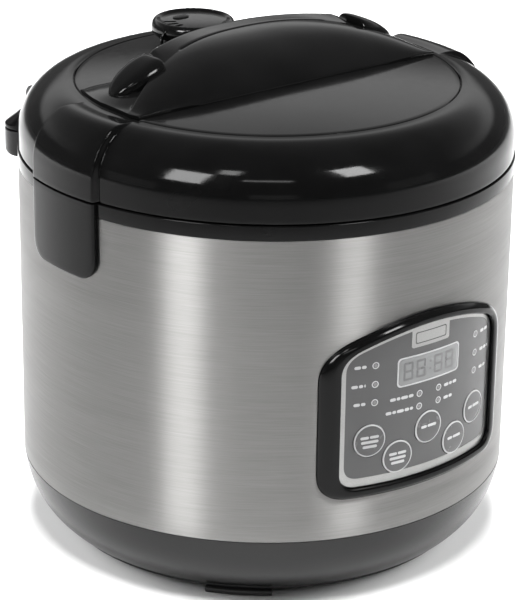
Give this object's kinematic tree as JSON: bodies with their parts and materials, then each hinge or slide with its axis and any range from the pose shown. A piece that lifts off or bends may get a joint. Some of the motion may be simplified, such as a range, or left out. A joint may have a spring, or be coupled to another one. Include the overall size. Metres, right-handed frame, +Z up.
{
  "type": "electric multicooker",
  "caption": "Round countertop multicooker with a hinged domed lid, arched handle, steam vent, curved control panel and a lift-out pot.",
  "frame": {"origin": "centre of the bounding box's underside, where the feet stand", "axes": "+Z up, the control panel faces -Y, and +X is on the right of someone facing the panel"},
  "size_m": [0.2756, 0.2924, 0.278],
  "materials": {
    "black_satin": "satin black plastic",
    "black_gloss": "glossy black plastic",
    "steel": "fine horizontal brushing",
    "aluminium": "plain aluminium",
    "pot_coating": "dark non-stick coating",
    "rubber": "black rubber",
    "silicone": "pale silicone",
    "board": "green board laminate",
    "wire": "plain steel",
    "element_steel": "heat-tinted steel",
    "panel_grey": "dark grey overlay",
    "display": "grey display window",
    "relay_case": "blue-grey case",
    "collector_plastic": "smoked plastic",
    "brass": "plain brass",
    "slider_plastic": "grey acetal"
  },
  "bodies": {
    "housing": {"base_shell": "black_satin", "base_plate": "black_satin", "base_screw_1": "wire", "base_screw_2": "wire", "base_screw_3": "wire", "foot_front_left": "rubber", "foot_front_right": "rubber", "foot_rear_right": "rubber", "foot_rear_left": "rubber", "outer_sleeve": "steel", "top_ring": "black_gloss", "inner_liner": "aluminium", "liner_support": "aluminium", "heating_plate": "aluminium", "heating_element": "element_steel", "thermostat_cup": "aluminium", "thermostat_spring": "wire", "power_board": "board", "relay": "relay_case", "panel_bezel": "black_gloss", "panel_overlay": "panel_grey", "display_lens": "display", "control_board": "board", "display_module": "black_satin", "power_inlet": "black_satin", "inlet_pin_line": "brass", "inlet_pin_neutral": "brass", "inlet_pin_earth": "brass", "hinge_bracket": "black_satin", "hinge_pin": "wire", "hinge_spring": "wire", "collector_clip": "black_satin"},
    "pot": {"inner_pot": "pot_coating"},
    "thermostat": {"thermostat_plunger": "aluminium"},
    "lid": {"lid_shell": "black_gloss", "lid_top_panel": "black_gloss", "lid_handle": "black_gloss", "handle_strip": "black_satin", "lid_inner_shell": "black_satin", "lid_gasket": "silicone", "inner_lid_plate": "aluminium", "lid_hinge_cover": "black_gloss", "vent_body": "black_satin", "latch_spring_left": "wire", "latch_spring_right": "wire"},
    "latch_left": {"release_button_left": "black_gloss", "latch_slider_left": "slider_plastic"},
    "latch_right": {"release_button_right": "black_gloss", "latch_slider_right": "slider_plastic"},
    "vent_cap": {"vent_cap": "black_satin"},
    "vent_float": {"vent_float": "silicone"},
    "condensate_collector": {"condensate_collector": "collector_plastic"},
    "button_1": {"panel_button_1": "panel_grey"},
    "button_2": {"panel_button_2": "panel_grey"},
    "button_3": {"panel_button_3": "panel_grey"},
    "button_4": {"panel_button_4": "panel_grey"},
    "button_5": {"panel_button_5": "panel_grey"}
  },
  "joints": [
    {"name": "lid_hinge", "type": "hinge", "parent": "housing", "child": "lid", "pos_m": [0, 0.14025, 0.2174], "axis": [-1, 0, 0], "range_deg": [0, 90]},
    {"name": "pot_turn", "type": "hinge", "parent": "housing", "child": "pot", "pos_m": [0, -0.00675, 0.1], "axis": [0, 0, 1], "continuous": true},
    {"name": "thermostat_press", "type": "slide", "parent": "housing", "child": "thermostat", "axis": [0, 0, -1], "range_m": [0, 0.003], "stiffness_N_per_m": 600, "springref_m": -0.001, "deforming": ["thermostat_spring"]},
    {"name": "latch_left_slide", "type": "slide", "parent": "lid", "child": "latch_left", "axis": [1, 0, 0], "range_m": [0, 0.003], "stiffness_N_per_m": 800, "deforming": ["latch_spring_left"]},
    {"name": "latch_right_slide", "type": "slide", "parent": "lid", "child": "latch_right", "axis": [-1, 0, 0], "range_m": [0, 0.003], "stiffness_N_per_m": 800, "deforming": ["latch_spring_right"]},
    {"name": "vent_cap_lift", "type": "slide", "parent": "lid", "child": "vent_cap", "axis": [0, 0, 1], "range_m": [0, 0.02]},
    {"name": "vent_float_lift", "type": "slide", "parent": "lid", "child": "vent_float", "axis": [0, 0, 1], "range_m": [0, 0.003]},
    {"name": "condensate_collector_pull", "type": "slide", "parent": "housing", "child": "condensate_collector", "axis": [0, 1, 0], "range_m": [0, 0.025]},
    {"name": "button_1_press", "type": "slide", "parent": "housing", "child": "button_1", "axis": [0.2656, 0.9641, 0], "range_m": [0, 0.0008], "stiffness_N_per_m": 900},
    {"name": "button_2_press", "type": "slide", "parent": "housing", "child": "button_2", "axis": [0.1444, 0.9895, 0], "range_m": [0, 0.0008], "stiffness_N_per_m": 900},
    {"name": "button_3_press", "type": "slide", "parent": "housing", "child": "button_3", "axis": [0, 1, 0], "range_m": [0, 0.0008], "stiffness_N_per_m": 900},
    {"name": "button_4_press", "type": "slide", "parent": "housing", "child": "button_4", "axis": [-0.1444, 0.9895, 0], "range_m": [0, 0.0008], "stiffness_N_per_m": 900},
    {"name": "button_5_press", "type": "slide", "parent": "housing", "child": "button_5", "axis": [-0.2656, 0.9641, 0], "range_m": [0, 0.0008], "stiffness_N_per_m": 900}
  ]
}
